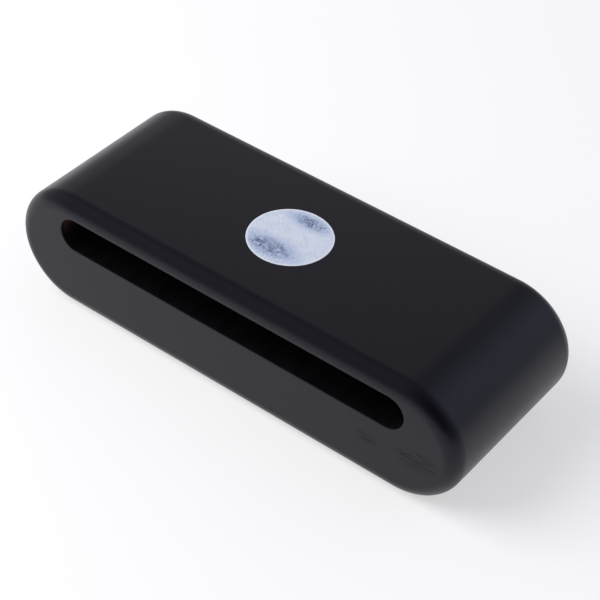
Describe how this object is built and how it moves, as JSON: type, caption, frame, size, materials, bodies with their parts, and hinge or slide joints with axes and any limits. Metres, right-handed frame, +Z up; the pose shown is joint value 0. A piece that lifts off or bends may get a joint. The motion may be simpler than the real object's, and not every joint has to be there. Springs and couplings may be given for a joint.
{
  "type": "woodblock",
  "caption": "Black lacquered hardwood percussion block with half-round ends, rounded rims, a deep round-ended sound slot along one long face and a round foil label on top.",
  "frame": {"origin": "middle of the flat underside, midway along the length and the depth", "axes": "+X along the length, +Z up out of the playing face, and the slot opens towards -Y"},
  "size_m": [0.2, 0.075, 0.0501],
  "materials": {
    "black_lacquered_wood": "satin black lacquer over hardwood",
    "label_foil": "spun silver foil, unprinted"
  },
  "bodies": {
    "root": {"front_board": "black_lacquered_wood", "middle_board": "black_lacquered_wood", "back_board": "black_lacquered_wood", "round_label": "label_foil"}
  },
  "joints": []
}
